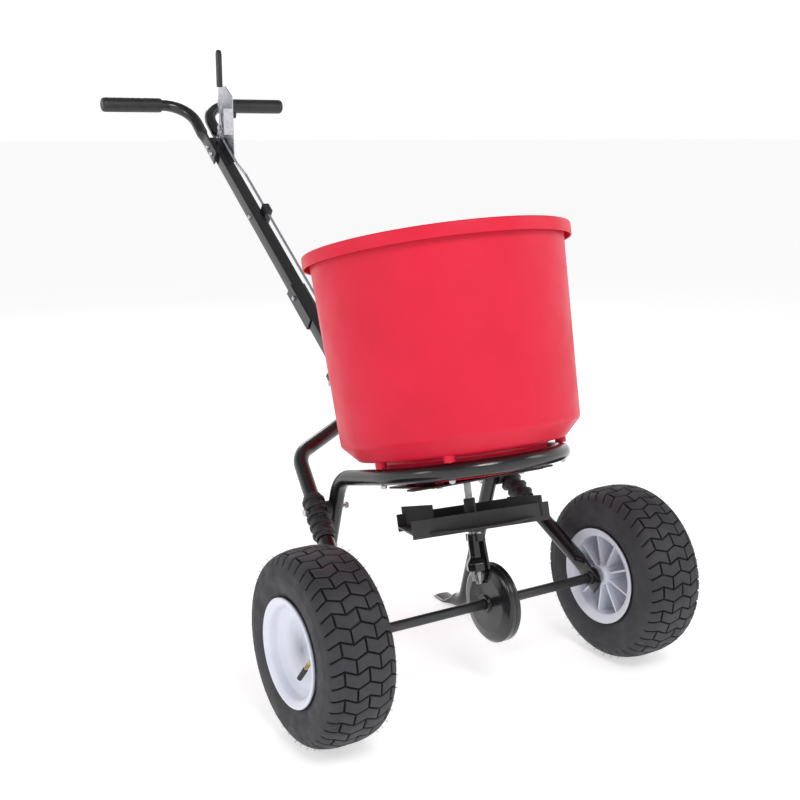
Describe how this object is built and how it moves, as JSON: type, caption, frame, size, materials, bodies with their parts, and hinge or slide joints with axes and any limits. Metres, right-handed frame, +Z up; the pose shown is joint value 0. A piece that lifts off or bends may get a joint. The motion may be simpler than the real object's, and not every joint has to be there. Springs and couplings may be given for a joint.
{
  "type": "garden spreader",
  "caption": "Wheeled garden spreader: round hopper over a ground-driven spinning impeller, tube frame with stand feet, T-handle and flow lever.",
  "frame": {"origin": "middle of the base of the bounding box, on the floor", "axes": "+Z up, +Y towards the handle, +X towards the drive wheel, which is on the user's left"},
  "size_m": [0.7938, 1.463, 1.1871],
  "materials": {
    "red_plastic": "satin moulded polyethylene",
    "tyre_rubber": "matt rubber",
    "white_rim": "satin moulded plastic",
    "black_rubber": "soft rubber",
    "brass": "bare",
    "black_paint": "gloss powder coat",
    "steel": "bare",
    "black_plastic": "satin moulded nylon",
    "zinc": "zinc plated"
  },
  "bodies": {
    "frame": {"frame_tube": "black_paint", "handle_tube_left": "black_paint", "handle_tube_right": "black_paint", "axle_bush_left": "black_plastic", "axle_bush_right": "black_plastic", "handle_shaft": "black_paint", "shaft_coupler": "black_paint", "coupler_bolt": "zinc", "lower_bolt_1": "zinc", "lower_bolt_2": "zinc", "clamp_left": "black_plastic", "clamp_right": "black_plastic", "clamp_bolt_left": "zinc", "clamp_bolt_right": "zinc", "gauge_bracket": "zinc", "lever_pivot_bolt": "zinc", "grip_arm_left": "black_paint", "grip_arm_right": "black_paint", "grip_left": "black_rubber", "grip_right": "black_rubber", "upper_bolt_1": "zinc", "upper_bolt_2": "zinc", "rod_guide": "black_plastic", "mid_bolt": "zinc", "hopper": "red_plastic", "hopper_bolt_1": "zinc", "hopper_bolt_2": "zinc", "hopper_bolt_3": "zinc", "hopper_bolt_4": "zinc", "base_plate": "black_plastic", "base_bolt_1": "zinc", "base_bolt_2": "zinc", "base_bolt_3": "zinc", "base_bolt_4": "zinc", "gear_case_right": "black_paint", "gear_case_left": "black_paint", "case_bolt_1": "zinc", "case_bolt_2": "zinc"},
    "drive_axle": {"axle": "steel", "axle_spacer_left": "zinc", "axle_spacer_right": "zinc", "crown_gear": "steel", "rim_left": "white_rim", "tyre_left": "tyre_rubber", "valve_left": "brass", "valve_cap_left": "black_rubber", "drive_pin": "zinc"},
    "free_wheel": {"rim_right": "white_rim", "tyre_right": "tyre_rubber", "valve_right": "brass", "valve_cap_right": "black_rubber"},
    "spinner": {"spinner_shaft": "steel", "pinion": "steel", "agitator": "steel", "impeller": "black_plastic"},
    "control_lever": {"lever": "zinc", "lever_sleeve": "black_rubber"},
    "control_rod": {"control_rod": "zinc"},
    "shutoff_gate": {"shutoff_gate": "zinc"},
    "rate_stop": {"rate_stop": "black_plastic"}
  },
  "joints": [
    {"name": "drive_wheel_spin", "type": "hinge", "parent": "frame", "child": "drive_axle", "pos_m": [0, -0.56649, 0.165], "axis": [1, 0, 0], "continuous": true},
    {"name": "free_wheel_spin", "type": "hinge", "parent": "frame", "child": "free_wheel", "pos_m": [0, -0.56649, 0.165], "axis": [1, 0, 0], "continuous": true},
    {"name": "spinner_spin", "type": "hinge", "parent": "frame", "child": "spinner", "pos_m": [0, -0.56649, 0.165], "axis": [0, 0.2514, 0.9679], "continuous": true},
    {"name": "lever_pivot", "type": "hinge", "parent": "frame", "child": "control_lever", "pos_m": [0, 0.5516, 1.00461], "axis": [1, 0, 0], "range_deg": [0, 30]},
    {"name": "rod_slide", "type": "slide", "parent": "frame", "child": "control_rod", "axis": [0, 0.8147, 0.5798], "range_m": [0, 0.0156]},
    {"name": "gate_slide", "type": "slide", "parent": "frame", "child": "shutoff_gate", "axis": [0, 0.9679, -0.2514], "range_m": [0, 0.0101]},
    {"name": "rate_stop_set", "type": "hinge", "parent": "frame", "child": "rate_stop", "pos_m": [0, 0.5516, 1.00461], "axis": [1, 0, 0], "range_deg": [0, 5]}
  ],
  "couplings": [
    {"joint": "spinner_spin", "follows": "drive_wheel_spin", "ratio": -4},
    {"joint": "rod_slide", "follows": "lever_pivot", "m_per_rad": 0.0297},
    {"joint": "gate_slide", "follows": "lever_pivot", "m_per_rad": 0.01909}
  ]
}
